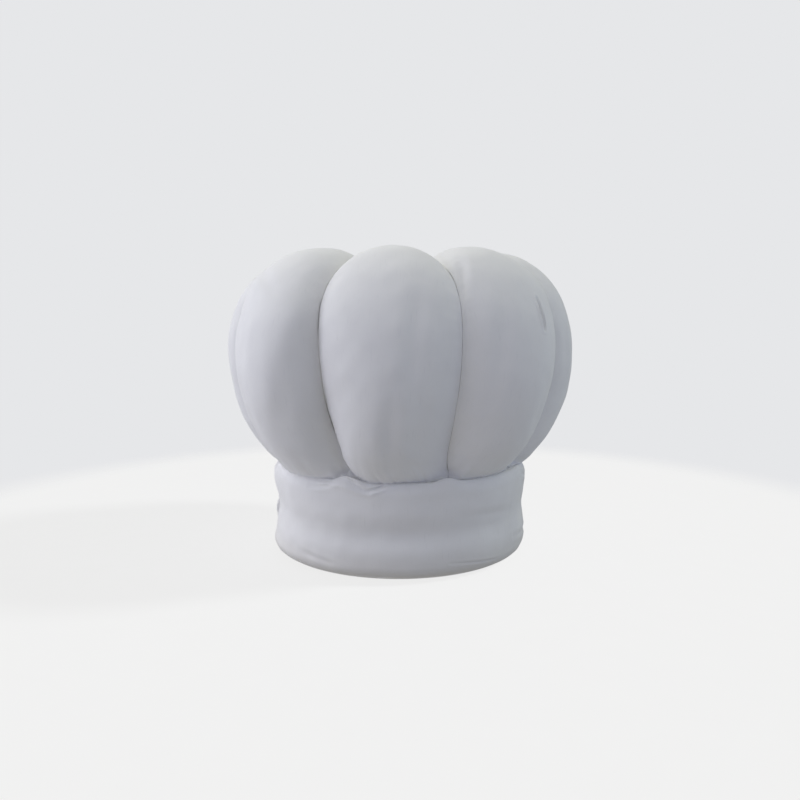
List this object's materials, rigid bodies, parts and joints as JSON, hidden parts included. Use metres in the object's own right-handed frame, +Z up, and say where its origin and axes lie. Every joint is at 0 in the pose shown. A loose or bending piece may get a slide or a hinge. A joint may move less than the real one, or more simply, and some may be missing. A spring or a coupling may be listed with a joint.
{
  "type": "chef toque",
  "caption": "Chef toque with a puffy stuffed crown of rounded lobes on a tall padded headband, closed at the rear by an adjustable hook-and-loop strap.",
  "frame": {"origin": "centre of the headband's bottom plane", "axes": "+Z up through the crown, -Y the front, +Y the rear with the closure strap, +X the wearer's left"},
  "size_m": [0.2818, 0.2818, 0.24],
  "materials": {
    "crown_cotton": "fine white cotton sateen",
    "band_cotton": "fine white cotton over padding",
    "wadding": "soft polyester wadding",
    "web_cotton": "plain cotton tape",
    "lining_cotton": "thin matt cotton",
    "buckram": "stiff open-weave buckram",
    "towelling": "looped cotton towelling",
    "thread": "twisted polyester thread",
    "hook_tape": "moulded hooks",
    "loop_tape": "fuzzy nylon loops",
    "satin": "satin ribbon"
  },
  "bodies": {
    "hat": {"gore_1": "crown_cotton", "gore_2": "crown_cotton", "gore_3": "crown_cotton", "gore_4": "crown_cotton", "gore_5": "crown_cotton", "gore_6": "crown_cotton", "gore_7": "crown_cotton", "gore_8": "crown_cotton", "wadding_1": "wadding", "wadding_2": "wadding", "wadding_3": "wadding", "wadding_4": "wadding", "wadding_5": "wadding", "wadding_6": "wadding", "wadding_7": "wadding", "wadding_8": "wadding", "baffle_1": "web_cotton", "baffle_2": "web_cotton", "baffle_3": "web_cotton", "baffle_4": "web_cotton", "baffle_5": "web_cotton", "baffle_6": "web_cotton", "baffle_7": "web_cotton", "baffle_8": "web_cotton", "lining_side": "lining_cotton", "lining_tip": "lining_cotton", "top_button": "crown_cotton", "button_cord": "thread", "backing_button": "web_cotton", "band_cover": "band_cotton", "band_wadding": "wadding", "band_stiffener": "buckram", "sweatband": "towelling", "seam_tape": "web_cotton", "crown_stitching": "thread", "hem_stitching": "thread", "slit_binding": "band_cotton", "strap_casing": "band_cotton", "loop_strip": "loop_tape", "care_label": "satin"},
    "closure_anchor": {"adjuster_strap": "band_cotton"},
    "closure_tab": {"closure_tab": "band_cotton", "hook_strip": "hook_tape", "tab_stitching": "thread"}
  },
  "joints": [
    {"name": "size_adjust", "type": "hinge", "parent": "hat", "child": "closure_anchor", "pos_m": [0, 0, 0.04], "axis": [0, 0, 1], "range_deg": [-6, 12]},
    {"name": "tab_peel", "type": "hinge", "parent": "closure_anchor", "child": "closure_tab", "pos_m": [-0.0017, 0.1082, 0.04], "axis": [0, 0, -1], "range_deg": [0, 110]}
  ]
}
